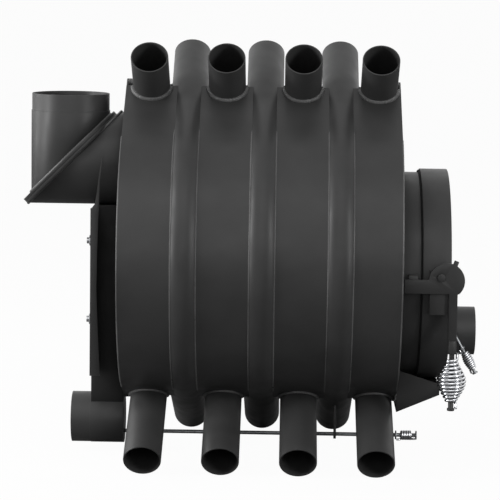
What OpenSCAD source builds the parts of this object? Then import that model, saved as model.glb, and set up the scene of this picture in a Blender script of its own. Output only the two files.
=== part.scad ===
// Tent wood stove: bent warm-air tubes crossing round a barrel firebox, with a
// cap door at the front (+X), a flue elbow at the rear (-X) and its feet on Z = 0.
// The air tubes are the skeleton: odd ones wrap the far side, even ones the near side.

/* [Air tubes] */
// Number of bent tubes along the barrel
tube_count = 7; // [5:2:9]
// Outer diameter of an air tube
tube_od = 57; // [45:1:65]
// Wall of an air tube
tube_wall = 2; // [1.5:0.5:3]
// Gap between neighbouring tubes where they cross
tube_gap = 1.4; // [1:0.2:3]
// Radius of the tubes' centre line round the barrel axis
bend_r = 200; // [190:1:215]
// Slope of the upper tube ends above the level, in degrees
top_slope = 33.6; // [31:0.1:38]
// Slope of the tube feet below the level, in degrees
foot_slope = 21.8; // [20:0.1:26]
// Length of the straight upper ends, to the middle of the mouth
top_run = 245.5; // [220:0.5:280]
// Length of the straight feet, to the middle of the mouth
foot_run = 296; // [280:1:330]
// Tilt of the upper mouths above the level, in degrees
top_cut = 40; // [34:1:44]
// Tilt of the feet's mouths below the level, in degrees
foot_cut = 34; // [24:1:38]

/* [Shell] */
// Thickness of the shell panels
panel_t = 2; // [1.5:0.5:3]
// Height of a panel's outer face above the tube centre line
panel_stand = 22; // [19:0.5:24]
// Thickness of the end walls
wall_t = 3; // [2:0.5:4]
// Last tube to the outer face of the front wall
front_margin = 5.3; // [4:0.1:10]
// First tube to the outer face of the rear wall
rear_margin = 11.3; // [8:0.1:16]

/* [Door] */
// Door centre below the barrel axis
door_drop = 32; // [24:1:40]
// Tubes' centre line to the rim of the door, in radius
door_in = 37; // [30:0.5:44]
// Sheet of the door cap
door_t = 2.5; // [2:0.5:4]
// Depth of the door cap
door_depth = 43; // [38:1:50]
// Front wall to the rear edge of the door rim
door_gap = 32; // [28:1:40]
// Play between the door rim and the neck
neck_play = 3; // [2.5:0.5:5]
// Sheet of the door neck
neck_t = 2; // [1.5:0.5:3]
// Thickness of the rope seal in the door
seal_t = 10.2; // [8:0.1:12]
// Rim of the heat shield to the neck
shield_rim_gap = 25.5; // [20:0.5:45]
// Thickness of the heat shields
shield_t = 1.5; // [1:0.5:2.5]
// Door skin to its heat shield
shield_off = 22; // [20:1:26]
// Half the distance between the two hinge lugs
hinge_half = 40; // [30:1:50]
// Diameter of the hinge pin
hinge_pin_d = 8; // [6:1:10]
// Thickness of a hinge lug
lug_t = 5; // [4:0.5:6]

/* [Front air socket] */
// Outer diameter of the front air socket
intake_od = 76; // [60:1:80]
// Length of the front air socket
intake_len = 48; // [44:1:60]
// Wall of both air sockets
intake_wall = 2; // [1.5:0.5:3]
// Socket centre below the door centre
intake_drop = 90; // [80:1:100]
// Door face to the throttle spindle
spindle_off = 15; // [12:1:20]
// Diameter of the throttle spindle
spindle_d = 6; // [5:0.5:8]
// Lean of the throttle handle from straight down, in degrees
throttle_lean = 29; // [20:1:32]

/* [Latch] */
// Pivot of the latch behind the door face
latch_in = 16.5; // [14:0.5:20]
// Pivot of the latch above the door centre
latch_up = 16; // [12:1:20]
// Thickness of the latch plate
latch_t = 5; // [4:0.5:6]
// Height of the latch arm
latch_arm_h = 21; // [18:1:24]
// Radius of the latch's half round head
latch_head_r = 27; // [24:1:30]
// Pivot to the lever's centre line
lever_off = 18.5; // [16:0.5:22]
// Width of the lever
lever_w = 13; // [11:1:15]
// Pivot down to the collar's underside
lever_drop = 114; // [105:1:120]
// Length of the coil grip
grip_len = 83; // [70:1:90]

/* [Flue] */
// Outer diameter of the flue socket
flue_od = 122; // [110:1:125]
// Wall of the flue socket
flue_wall = 1.5; // [1.5:0.5:2.5]
// Outer diameter of the level duct
duct_od = 144; // [136:1:150]
// Wall of the level duct
duct_wall = 2; // [1.5:0.5:3]
// Tubes' centre line to the duct centre, in height
duct_in = 59; // [50:1:66]
// Rear wall to the nearest side of the flue elbow
flue_gap = 15; // [10:1:30]
// Height of the flue rim above the duct centre
flue_rise = 100; // [90:1:120]
// Thickness of each of the two mitre flanges
mitre_t = 4.5; // [3:0.5:5]

/* [Rear shield and air box] */
// Width of the rear shield
back_w = 170; // [162:1:180]
// Rear wall to the outer face of the rear shield
back_off = 49; // [44:1:60]
// Lower edge of the rear shield below the barrel axis
back_drop = 189; // [180:1:194]
// Upper edge of the rear shield above the barrel axis
back_rise = 153; // [145:1:160]
// Outer diameter of the rear air pipe
pipe_od = 80; // [72:1:84]
// Pipe centre below the barrel axis
pipe_drop = 268.5; // [264:0.5:271]
// Length of the rear air pipe, from the rear wall
pipe_len = 82; // [78:1:90]
// Diameter of the damper rod
rod_d = 6; // [5:0.5:7]
// Damper rod below the pipe centre
rod_drop = 22; // [18:0.5:24]
// Travel of the damper rod
rod_travel = 40; // [32:1:42]

/* [Hidden] */
SLOTS = [for (i = [1:tube_count]) i];
MIDDLE = (tube_count + 1) / 2;
DIP_SIDES = 360;
$fn = 96;

// Clearances and overruns
cut = 1;
seat = 0.15;
running = 0.1;
facing = 0.3;
// A bend stands this much proud of its straights, which run into it and fuse
bend_skin = 0.15;
// Mouths that take a stranger's hose, and the flue's mouth, are drawn in by this much
swage = 0.5;
flue_swage = 1;

// Air tubes
tube_r = tube_od / 2;
pitch = tube_od + tube_gap;
foot_skew = foot_cut - foot_slope;
axis_z = (bend_r + tube_r) * cos(foot_slope) + (foot_run - tube_r * tan(foot_skew)) * sin(foot_slope);
barrel_half = (tube_count - 1) / 2 * pitch + tube_r;

// Shell
front_x = barrel_half + front_margin;
rear_x = -barrel_half - rear_margin;
panel_r = bend_r + panel_stand;
function flank(h) = sqrt(pow(tube_r, 2) - pow(h, 2));
panel_half = pitch - flank(panel_stand) - seat;
panel_half_in = pitch - flank(panel_stand - panel_t) - seat;
// A panel's straight ends stop where its outer face meets the crossing tube's axis
function panel_run(slope) = panel_r * tan(slope) - (panel_r - bend_r) / (2 * sin(slope));
end_inset = 0.3;

// Door
door_r = bend_r - door_in;
door_z = axis_z - door_drop;
rim_x = front_x + door_gap;
face_x = rim_x + door_depth;
neck_r = door_r - door_t - neck_play;
neck_end = face_x - door_t - seal_t - facing;
seal_r_in_share = 0.95;
shield_r = neck_r - neck_t - shield_rim_gap;
spacer_count = 3;
spacer_r = 7;
spacer_ring_share = 0.6;
hinge_x = rim_x - lug_t;
hinge_y = door_r + 13;
lug_r = 9;
lug_back = 13.5;
lug_inset_share = 0.86;
pin_head_d = 13;
wall_steps = 24;

// Front air socket and throttle
intake_r = intake_od / 2;
intake_z = door_z - intake_drop;
intake_swage_len = 26;
disc_play = 2.5;
spindle_x = face_x + spindle_off;
spindle_reach = 14;
disc_r = intake_r - intake_wall - disc_play;
disc_t = 2;
throttle_root = 24;
throttle_coil_len = 42;
throttle_coil_r = 6.5;
throttle_coil_end_r = 4.4;
throttle_wire = 2.6;
throttle_turns = 9;
throttle_rod_d = 5;
throttle_button_r = 4.4;
button_t = 2;
throttle_tip = throttle_root + throttle_coil_len + 2 * button_t;

// Latch
latch_x = face_x - latch_in;
latch_z = door_z + latch_up;
latch_y = -door_r - 12;
latch_tip_gap = 4;
latch_left = latch_x - front_x - latch_tip_gap;
latch_low = 24.5;
head_off = 8.5;
head_up = 5;
horn_w = 7;
horn_h = 12;
horn_lean = 20;
rivet_d = 8;
tooth_len = 7;
tooth_h = 8;
tooth_reach = 10;
keeper_len = 14;
keeper_h = 18;
keeper_lead = 4;
keeper_play = 0.4;
bracket_len = 28;
bracket_h = 66;
bracket_drop = 57;
bracket_t = 20;
rivet_head_d = 12;
grip_wire = 3.6;
grip_turns = 12;
grip_mid_r = 20.2;
grip_top_r = 7.9;
grip_end_r = 6.3;
grip_rod_d = 8;
collar_d = 13;
collar_h = 19;
button_d = 11;

// Flue
flue_r = flue_od / 2;
duct_r = duct_od / 2;
duct_up = bend_r - duct_in;
duct_z = axis_z + duct_up;
flue_x = rear_x - duct_r - flue_gap;
flue_swage_len = 26;
mitre_lap = 4;
mitre_edge = 1;
mitre_r = max(duct_r, flue_r);
mitre_half_long = mitre_r * sqrt(2) - mitre_t + mitre_edge;
mitre_half_wide = mitre_r + mitre_lap;

// Rear shield and air box
back_x = rear_x - back_off;
back_low = axis_z - back_drop;
back_high = axis_z + back_rise;
flange_deep = 18;
flange_dip = 9;
stud_d = 10;
nut_d = 17;
nut_t = 8;
stud_end = 4;
stud_drops = [-11, 113];
pin_play = 0.05;
pipe_r = pipe_od / 2;
pipe_z = axis_z - pipe_drop;
pipe_swage_len = 30;
rod_z = pipe_z - rod_drop;
pipe_x = rear_x - pipe_len;
box_wall = 2;
box_deep = 51;
box_half = 28;
box_drop = 198;
box_top = axis_z - box_drop;
riser_deep = 28;
riser_gap = 6;
riser_top = duct_z - duct_r - riser_gap;
port_in = 75;
port_h = 30;
port_top = axis_z - bend_r + port_in;
port_low = port_top - port_h;
window_len = 40;
window_off = 35;
valve_play = 1.5;
valve_in = 4;
valve_r = pipe_r - intake_wall - valve_play;
valve_t = 2;
valve_x = pipe_x + window_off - valve_in;
rod_end = 35;
rod_grip_len = 30;
rod_grip_r = 6.1;
rod_wire = 3.4;
rod_turns = 6;
rod_collar_d = 14;
hanger_t = 4;
hanger_w = 12;
hanger_x = 2 * pitch;
hanger_rim = 1.5;

// Ash lip
lip_half = 80;
lip_t = 2;
lip_reach = 66;
lip_drop = 44;
lip_low = door_z - door_r - lip_drop;
lip_slope = 23;
lip_side_back = 66;
lip_front = 12;
lip_side_front = 17;

// Firebox
baffle_t = 4;
baffle_up = 63;
baffle_gap = 70;
baffle_half = sqrt(pow(bend_r - tube_r, 2) - pow(baffle_up + baffle_t, 2)) - facing;

// Whole stove: X runs from the mitre plate's low end to the throttle handle's tip
x_low = flue_x - (mitre_half_long + mitre_t) / sqrt(2);
x_high = spindle_x + (throttle_tip - button_t) * sin(throttle_lean) + throttle_button_r * cos(throttle_lean);
origin_shift = -(x_low + x_high) / 2;

// Frames
module stove() { translate([origin_shift, 0, 0]) children(); }
module barrel() { stove() translate([0, 0, axis_z]) rotate([0, 90, 0]) children(); }
module door_axis(x) { stove() translate([x, 0, door_z]) rotate([0, 90, 0]) children(); }
module along_y(x, y, z) { stove() translate([x, y, z]) rotate([-90, 0, 0]) children(); }

// A ring round the X axis, or round whatever axis it is turned to
module ring(r, wall, h) {
    difference() {
        cylinder(r = r, h = h);
        translate([0, 0, -cut]) cylinder(r = r - wall, h = h + 2 * cut);
    }
}

// A pipe whose far end is drawn in so that another pipe slips over it
module swaged_pipe(r, wall, len, swaged, drawn) {
    ring(r, wall, len - swaged);
    translate([0, 0, len - swaged]) ring(r - drawn, wall, swaged);
}

// Sweeps flat profiles along the barrel path: the first round the bend, the second,
// which is a skin thinner, along the upper straight and the foot
module barrel_sweep(top_len, foot_len) {
    rotate([0, 0, foot_slope])
        rotate_extrude(angle = 180 - foot_slope - top_slope) translate([bend_r, 0]) children(0);
    rotate([0, 0, 180 - top_slope]) translate([bend_r, -cut, 0])
        rotate([-90, 0, 0]) linear_extrude(top_len + cut) mirror([0, 1]) children(1);
    rotate([0, 0, foot_slope]) translate([bend_r, cut, 0])
        rotate([90, 0, 0]) linear_extrude(foot_len + cut) children(1);
}

function slot_x(i) = (i - MIDDLE) * pitch;
function wraps_far(i) = i % 2 == 1;
module to_side(i) { mirror([0, wraps_far(i) ? 0 : 1, 0]) children(); }

// Air tubes
module tube_profile(skin) {
    difference() {
        circle(tube_r - skin);
        circle(tube_r - tube_wall + skin);
    }
}

module air_tube(i) {
    color("#4a4b4d")
        barrel() difference() {
            translate([0, 0, slot_x(i)])
                to_side(i) barrel_sweep(top_run + tube_r, foot_run + tube_r) {
                    tube_profile(0);
                    tube_profile(bend_skin);
                }
            beyond_mouths(i);
        }
}

// Both mouths are sawn at a tilt of their own, through the middle of each end
module beyond_mouths(i) {
    translate([-tube_od, 0, slot_x(i) - tube_od]) to_side(i) {
        translate([tube_od, 0, 0]) rotate([0, 0, 180 - top_slope]) translate([bend_r, top_run, 0])
            rotate([0, 0, top_slope - top_cut]) translate([-tube_od, 0, 0]) cube(2 * tube_od);
        translate([tube_od, 0, 0]) rotate([0, 0, foot_slope]) translate([bend_r, -foot_run, 0])
            rotate([0, 0, foot_skew]) translate([-tube_od, -2 * tube_od, 0]) cube(2 * tube_od);
    }
}

// The straight ends of a tube as solid rods, to cut what they pass through
module tube_ends(i, r) {
    translate([0, 0, slot_x(i)]) to_side(i) {
        rotate([0, 0, 180 - top_slope]) translate([bend_r, 0, 0])
            rotate([-90, 0, 0]) cylinder(r = r, h = top_run);
        rotate([0, 0, foot_slope]) translate([bend_r, 0, 0])
            rotate([90, 0, 0]) cylinder(r = r, h = foot_run);
    }
}

// Shell panels: each closes the side of a slot that its tube leaves open, its bevelled
// edges on the flanks of the next tubes. The end panels run on to the end walls.
module panel_profile(low, low_in, high, high_in, skin) {
    polygon([[panel_stand - panel_t + skin, low_in + skin], [panel_stand - skin, low + skin],
             [panel_stand - skin, high - skin], [panel_stand - panel_t + skin, high_in - skin]]);
}

module panel_strip(low, low_in, high, high_in, top_len, foot_len) {
    barrel_sweep(top_len, foot_len) {
        panel_profile(low, low_in, high, high_in, 0);
        panel_profile(low, low_in, high, high_in, bend_skin);
    }
}

module shell_panel(i) {
    to_rear = slot_x(1) - rear_x;
    to_front = front_x - slot_x(tube_count);
    color("#505153") barrel() difference() {
        translate([0, 0, slot_x(i)]) to_side(i + 1)
            panel_strip(i == 1 ? -to_rear : -panel_half, i == 1 ? -to_rear : -panel_half_in,
                        i == tube_count ? to_front : panel_half, i == tube_count ? to_front : panel_half_in,
                        panel_run(top_slope), panel_run(foot_slope));
        tube_ends(i, tube_r + seat);
    }
}

// Narrow bands close the end walls against the outer tubes' own side
module end_band(low, low_in, high, high_in) {
    color("#505153") barrel() to_side(1)
        panel_strip(low, low_in, high, high_in,
                    panel_r * tan(top_slope) - panel_t / tan(top_slope) - seat,
                    panel_r * tan(foot_slope) - panel_t / tan(foot_slope) - seat);
}

module rear_band() {
    x = slot_x(1) - seat;
    end_band(rear_x, rear_x, x - flank(panel_stand), x - flank(panel_stand - panel_t));
}

module front_band() {
    x = slot_x(tube_count) + seat;
    end_band(x + flank(panel_stand), x + flank(panel_stand - panel_t), front_x, front_x);
}

// End walls
// The barrel's outline: two arcs of radius r whose tangents meet in a ridge and a keel
module wall_outline(r) {
    bend = 180 - top_slope - foot_slope;
    arc = [for (k = [0 : wall_steps]) foot_slope + bend * k / wall_steps];
    polygon(concat([[r / cos(foot_slope), 0]],
                   [for (a = arc) r * [cos(a), sin(a)]],
                   [[-r / cos(top_slope), 0]],
                   [for (a = reversed(arc)) r * [cos(a), -sin(a)]]));
}

module front_wall() {
    color("#464749")
        barrel() translate([0, 0, front_x - wall_t]) linear_extrude(wall_t) difference() {
            wall_outline(panel_r - panel_t - end_inset);
            translate([door_drop, 0]) circle(neck_r - neck_t);
        }
}

module rear_wall() {
    color("#464749")
        barrel() translate([0, 0, rear_x]) linear_extrude(wall_t) difference() {
            wall_outline(panel_r - panel_t - end_inset);
            translate([-duct_up, 0]) circle(duct_r - duct_wall);
            translate([axis_z - port_top + box_wall, -box_half + box_wall])
                square([port_h - 2 * box_wall, 2 * (box_half - box_wall)]);
        }
}

// Door neck and hinge
module door_neck() {
    color("#4c4d4f") door_axis(front_x) ring(neck_r, neck_t, neck_end - front_x);
}

module lug(y_in, x_in, x_out) {
    difference() {
        union() {
            translate([hinge_x, hinge_y, 0]) cylinder(r = lug_r, h = lug_t);
            translate([x_in, y_in, 0]) cube([x_out - x_in, hinge_y - y_in, lug_t]);
        }
        children();
    }
}

module hinge_lugs() {
    color("#4a4b4d") difference() {
        stove() for (z = [door_z - hinge_half, door_z + hinge_half - lug_t])
            translate([0, 0, z])
                lug(neck_r * lug_inset_share, hinge_x - lug_back, hinge_x + lug_t - cut)
                    translate([hinge_x, hinge_y, -cut]) cylinder(d = hinge_pin_d + 2 * seat, h = lug_t + 2 * cut);
        door_axis(front_x) cylinder(r = neck_r + seat, h = door_gap);
    }
}

module door_lugs() {
    color("#4a4b4d") difference() {
        stove() for (z = [door_z - hinge_half, door_z + hinge_half - lug_t])
            translate([0, 0, z + lug_t + facing])
                lug(neck_r * lug_inset_share, hinge_x, rim_x + door_depth * lug_inset_share)
                    translate([hinge_x, hinge_y, -cut])
                        cylinder(d = hinge_pin_d + 2 * running, h = lug_t + 2 * cut);
        door_axis(rim_x - lug_t - cut) cylinder(r = door_r + seat, h = door_depth + 2 * lug_t);
    }
}

module hinge_pin() {
    shaft = 2 * (hinge_half + lug_t + facing);
    color("#77797b") stove() translate([hinge_x, hinge_y, door_z - hinge_half - lug_t]) {
        cylinder(d = hinge_pin_d, h = shaft);
        translate([0, 0, shaft]) cylinder(d = pin_head_d, h = lug_t);
    }
}

// Door
module door_cap() {
    color("#505153") difference() {
        door_axis(rim_x) difference() {
            cylinder(r = door_r, h = door_depth);
            translate([0, 0, -cut]) cylinder(r = door_r - door_t, h = door_depth - door_t + cut);
        }
        stove() translate([face_x - door_t - cut, 0, intake_z]) rotate([0, 90, 0])
            cylinder(r = intake_r - intake_wall, h = door_t + 2 * cut);
    }
}

module door_seal() {
    color("#b9b4a8") door_axis(neck_end + facing) ring(neck_r + neck_play / 2, neck_r * (1 - seal_r_in_share), seal_t);
}

module door_heat_shield() {
    color("#5a5b5d") door_axis(face_x - door_t - shield_off - shield_t) cylinder(r = shield_r, h = shield_t);
}

module door_spacers() {
    color("#8a8b8d") door_axis(face_x - door_t - shield_off)
        for (k = [1 : spacer_count]) rotate([0, 0, 180 + 360 * k / spacer_count])
            translate([shield_r * spacer_ring_share, 0, 0]) cylinder(r = spacer_r, h = shield_off);
}

// Front air socket and its throttle
module front_air_socket() {
    color("#505153") difference() {
        stove() translate([face_x, 0, intake_z]) rotate([0, 90, 0])
            swaged_pipe(intake_r, intake_wall, intake_len, intake_swage_len, swage);
        along_y(spindle_x, -intake_od, intake_z)
            cylinder(d = spindle_d + 2 * running, h = 2 * intake_od);
    }
}

module throttle_spindle() {
    color("#b4b6b8") {
        difference() {
            along_y(spindle_x, -intake_r - spindle_reach, intake_z)
                cylinder(d = spindle_d, h = intake_od + 2 * spindle_reach - spindle_d);
            throttle_frame() translate([0, intake_r + spindle_reach - spindle_d / 2 - disc_r - facing, -spindle_d])
                cube([spindle_d, 2 * (disc_r + facing), 2 * spindle_d]);
        }
        throttle_frame() {
            translate([0, 0, -spindle_d / 2]) cylinder(d = throttle_rod_d, h = throttle_tip);
            for (z = [throttle_root - button_t, throttle_tip - 2 * button_t])
                translate([0, 0, z]) cylinder(r = throttle_button_r, h = button_t);
        }
    }
}

// The handle's own axis runs from the spindle down its lean
module throttle_frame() {
    stove() translate([spindle_x, -intake_r - spindle_reach + spindle_d / 2, intake_z])
        rotate([0, 180 - throttle_lean, 0]) children();
}

// The disc lies on a flat of the spindle and turns with the handle
module throttle_disc() {
    color("#6a6b6d") throttle_frame() translate([0, intake_r + spindle_reach - spindle_d / 2, 0])
        rotate([0, 90, 0]) cylinder(r = disc_r, h = disc_t);
}

// Coil grips
// A coil runs down +Z; each curl has eight rings, and both ends turn to run straight along the axis
RINGS = 8;
SIDES = 6;
bend_steps = 3;
function coil_r(t, r0, r1, r2) = t < 0.5
    ? r0 + (r1 - r0) * (1 - cos(360 * t)) / 2
    : r2 + (r1 - r2) * (1 - cos(360 * t)) / 2;
function coil_body(len, turns, r0, r1, r2, wire) =
    [for (k = [0 : turns * RINGS])
        let (t = k / (turns * RINGS), a = k * 360 / RINGS, r = coil_r(t, r0, r1, r2))
            [r * cos(a), r * sin(a), 2 * wire + t * (len - 4 * wire), a]];
// Quarter bends at both ends, then one wire diameter straight
function coil_tail(p, wire, dir) =
    [for (s = [1 : bend_steps + 1])
        let (phi = min(s, bend_steps) * 90 / bend_steps,
             along = dir * wire * sin(phi),
             up = dir * (wire * (1 - cos(phi)) + (s > bend_steps ? wire : 0)))
            [p[0] - along * sin(p[3]), p[1] + along * cos(p[3]), p[2] + up, p[3]]];
function reversed(v) = [for (i = [len(v) - 1 : -1 : 0]) v[i]];
function coil_path(len, turns, r0, r1, r2, wire) =
    let (body = coil_body(len, turns, r0, r1, r2, wire))
        concat(reversed(coil_tail(body[0], wire, -1)), body, coil_tail(body[len(body) - 1], wire, 1));
function point(p) = [p[0], p[1], p[2]];
function unit(v) = v / norm(v);
function coil_ring(path, i, wire) =
    let (n = len(path),
         t = unit(point(path[min(i + 1, n - 1)]) - point(path[max(i - 1, 0)])),
         out = [cos(path[i][3]), sin(path[i][3]), 0],
         u = unit(out - (out * t) * t),
         v = cross(t, u))
        [for (k = [0 : SIDES - 1])
            point(path[i]) + wire / 2 * (cos(k * 360 / SIDES) * u + sin(k * 360 / SIDES) * v)];
function least_gap(path, wire) =
    min([for (i = [0 : len(path) - 1], j = [i + RINGS / 2 : 1 : len(path) - 1])
        norm(point(path[i]) - point(path[j])) - wire]);

module coil(len, turns, r0, r1, r2, wire, name) {
    path = coil_path(len, turns, r0, r1, r2, wire);
    n = len(path);
    rings = [for (i = [0 : n - 1]) each coil_ring(path, i, wire)];
    sides = [for (i = [0 : n - 2], k = [0 : SIDES - 1])
        let (a = i * SIDES + k, b = i * SIDES + (k + 1) % SIDES) each
            [[a, a + SIDES, b], [b, a + SIDES, b + SIDES]]];
    ends = [for (k = [1 : SIDES - 2]) each
        [[0, k, k + 1], [(n - 1) * SIDES, (n - 1) * SIDES + k + 1, (n - 1) * SIDES + k]]];
    echo(str(name, " wire gap"), least_gap(path, wire));
    polyhedron(points = rings, faces = concat(sides, ends));
}

module throttle_coil() {
    color("#c9cbcd") throttle_frame() translate([0, 0, throttle_root + facing / 2])
        coil(throttle_coil_len - facing, throttle_turns, throttle_coil_end_r, throttle_coil_r,
             throttle_coil_end_r, throttle_wire, "throttle");
}

// Latch: a bell crank on the door with its tooth beside the keeper on the neck
module latch_plane() { stove() translate([latch_x, latch_y, latch_z]) rotate([90, 0, 0]) children(); }

module latch_lever() {
    color("#4c4d4f") latch_plane() difference() {
        union() {
            translate([0, 0, -latch_t / 2]) linear_extrude(latch_t) {
                translate([-latch_left, -latch_low]) square([latch_left + head_off, latch_arm_h]);
                intersection() {
                    translate([head_off, -head_up]) circle(latch_head_r);
                    translate([head_off - latch_head_r, -latch_low])
                        square([2 * latch_head_r, latch_low + latch_head_r]);
                }
                translate([head_off + horn_w, -head_up + latch_head_r - horn_w])
                    rotate([0, 0, -horn_lean]) square([horn_w, horn_h]);
                translate([lever_off - lever_w / 2, -lever_drop + collar_h - lever_w / 2])
                    square([lever_w, lever_drop - collar_h]);
            }
            translate([-latch_left, -latch_low, -latch_t / 2 - tooth_reach])
                cube([tooth_len, tooth_h, tooth_reach + cut]);
        }
        translate([0, 0, -latch_t]) cylinder(d = rivet_d + 2 * running, h = 2 * latch_t);
    }
}

module latch_grip_rod() {
    color("#b4b6b8") stove() translate([latch_x + lever_off, latch_y, latch_z - lever_drop]) {
        difference() {
            cylinder(d = collar_d, h = collar_h);
            translate([-collar_d, -latch_t / 2, collar_h - lever_w / 2]) cube([2 * collar_d, latch_t, collar_h]);
        }
        translate([0, 0, -grip_len - button_t]) cylinder(d = grip_rod_d, h = grip_len + button_t);
        translate([0, 0, -grip_len - 2 * button_t]) cylinder(d = button_d, h = 2 * button_t - facing / 2);
    }
}

module latch_grip_coil() {
    color("#c9cbcd") stove() translate([latch_x + lever_off, latch_y, latch_z - lever_drop - facing / 2])
        rotate([180, 0, 0])
            coil(grip_len - facing, grip_turns, grip_top_r, grip_mid_r, grip_end_r, grip_wire, "latch grip");
}

module latch_keeper() {
    bottom = latch_low - tooth_h - keeper_play;
    color("#4a4b4d") difference() {
        latch_plane() translate([-latch_left + tooth_len - keeper_lead / 4, -bottom, -latch_t / 2 - facing])
            mirror([0, 0, 1]) linear_extrude(door_r - neck_r + lug_back)
                polygon([[0, keeper_lead], [keeper_lead, 0], [keeper_len, 0], [keeper_len, keeper_h], [0, keeper_h]]);
        door_axis(front_x - cut) cylinder(r = neck_r + seat, h = door_gap + 2 * cut);
    }
}

module latch_bracket() {
    color("#4c4d4f") difference() {
        latch_plane() translate([-latch_in, -bracket_drop, -latch_t / 2 - facing]) mirror([0, 0, 1])
            linear_extrude(bracket_t) square([bracket_len, bracket_h]);
        door_axis(rim_x - cut) cylinder(r = door_r + seat, h = door_depth + 2 * cut);
        latch_plane() translate([0, 0, -bracket_t]) cylinder(d = rivet_d + 2 * pin_play, h = bracket_t + latch_t);
    }
}

module latch_pin() {
    color("#9a9c9e") latch_plane() {
        translate([0, 0, -latch_t / 2 - latch_t]) cylinder(d = rivet_d, h = 2 * latch_t + facing);
        translate([0, 0, latch_t / 2 + facing]) cylinder(d = rivet_head_d, h = latch_t / 2);
    }
}

// Flue
module mitre_frame() { stove() translate([flue_x, 0, duct_z]) rotate([0, -45, 0]) children(); }

// All space beyond one of the two flanges: side 1 is over them, side -1 is under them
module beyond_flange(side) {
    far = 4 * (duct_od + flue_rise);
    mitre_frame() translate([-far / 2, -far / 2, side > 0 ? mitre_t : -far - mitre_t]) cube([far, far, far]);
}

module flue_duct() {
    color("#4e4f51") intersection() {
        stove() translate([rear_x, 0, duct_z]) rotate([0, -90, 0]) ring(duct_r, duct_wall, flue_gap + 2 * duct_od);
        beyond_flange(-1);
    }
}

// An oval with straight sides and round ends
module mitre_outline() {
    straight = mitre_half_long - mitre_half_wide;
    translate([-straight, -mitre_half_wide]) square([2 * straight, 2 * mitre_half_wide]);
    for (s = [-1, 1]) translate([s * straight, 0]) circle(mitre_half_wide);
}

module mitre_flange(low) {
    difference() {
        mitre_frame() translate([0, 0, low]) linear_extrude(mitre_t) mitre_outline();
        stove() translate([flue_x, 0, 0]) cylinder(r = flue_r - flue_wall, h = 2 * axis_z);
    }
}

module socket_flange() { color("#4a4b4d") mitre_flange(0); }
module duct_flange() { color("#47484a") mitre_flange(-mitre_t); }

module flue_socket() {
    color("#545557") intersection() {
        stove() translate([flue_x, 0, duct_z - duct_od])
            swaged_pipe(flue_r, flue_wall, flue_rise + duct_od, flue_swage_len, flue_swage);
        beyond_flange(1);
    }
}

// Rear shield
module rear_shield() {
    color("#56575a") difference() {
        stove() translate([back_x, -back_w / 2, back_low]) difference() {
            cube([flange_deep, back_w, back_high - back_low]);
            translate([shield_t, shield_t, -cut])
                cube([flange_deep, back_w - 2 * shield_t, back_high - back_low + 2 * cut]);
            dip_r = pow((back_high - back_low) / 2, 2) / (2 * flange_dip) + flange_dip / 2;
            translate([flange_deep - flange_dip + dip_r, -cut, (back_high - back_low) / 2])
                rotate([-90, 0, 0]) cylinder(r = dip_r, h = back_w + 2 * cut, $fn = DIP_SIDES);
        }
        stove() translate([rear_x, 0, duct_z]) rotate([0, -90, 0]) cylinder(r = duct_r + facing, h = 2 * back_off);
        stove() for (drop = stud_drops) translate([rear_x, 0, axis_z - drop]) rotate([0, -90, 0])
            cylinder(d = stud_d + 2 * running, h = 2 * back_off);
    }
}

module at_studs(x) { stove() for (drop = stud_drops) translate([x, 0, axis_z - drop]) rotate([0, -90, 0]) children(); }

module shield_studs() {
    color("#b4b6b8") at_studs(rear_x - riser_deep) cylinder(d = stud_d, h = back_off - riser_deep + nut_t + stud_end);
}

module shield_nuts() {
    color("#b4b6b8") at_studs(back_x) difference() {
        cylinder(d = nut_d, h = nut_t, $fn = 6);
        translate([0, 0, -cut]) cylinder(d = stud_d + 2 * pin_play, h = nut_t + 2 * cut);
    }
}

module shield_spacers() {
    color("#56575a") at_studs(rear_x - riser_deep) ring(stud_d, stud_d / 2 - running, back_off - riser_deep - shield_t);
}

// Rear air pipe, its box on the rear wall and its damper
module pipe_frame(x) { stove() translate([x, 0, pipe_z]) rotate([0, 90, 0]) children(); }

module rear_air_pipe() {
    color("#505153") difference() {
        pipe_frame(pipe_x + pipe_len) rotate([0, 180, 0])
            swaged_pipe(pipe_r, intake_wall, pipe_len, pipe_swage_len, swage);
        stove() translate([pipe_x + window_off, -box_half + 2 * box_wall, pipe_z])
            cube([window_len, 2 * box_half - 4 * box_wall, pipe_r + cut]);
    }
}

module air_box() {
    color("#505153") difference() {
        stove() difference() {
            union() {
                translate([rear_x - box_deep, -box_half, pipe_z])
                    cube([box_deep, 2 * box_half, box_top - pipe_z]);
                translate([rear_x - riser_deep, -box_half, pipe_z])
                    cube([riser_deep, 2 * box_half, riser_top - pipe_z]);
            }
            translate([rear_x - box_deep + box_wall, -box_half + box_wall, pipe_z - cut])
                cube([box_deep - 2 * box_wall, 2 * (box_half - box_wall), box_top - pipe_z - box_wall + cut]);
            translate([rear_x - riser_deep + box_wall, -box_half + box_wall, pipe_z])
                cube([riser_deep - 2 * box_wall, 2 * (box_half - box_wall), riser_top - pipe_z - box_wall]);
            translate([rear_x - riser_deep / 2, -box_half + box_wall, port_low + box_wall])
                cube([riser_deep, 2 * (box_half - box_wall), port_h - 2 * box_wall]);
        }
        pipe_frame(pipe_x) cylinder(r = pipe_r + seat, h = pipe_len);
    }
}

module pipe_cap() {
    color("#505153") difference() {
        pipe_frame(rear_x - box_wall) cylinder(r = pipe_r - intake_wall - seat, h = box_wall);
        rod_line(pipe_x) cylinder(d = rod_d + 2 * running, h = 2 * pipe_len);
    }
}

module rod_line(x) { stove() translate([x, 0, rod_z]) rotate([0, 90, 0]) children(); }

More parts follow.
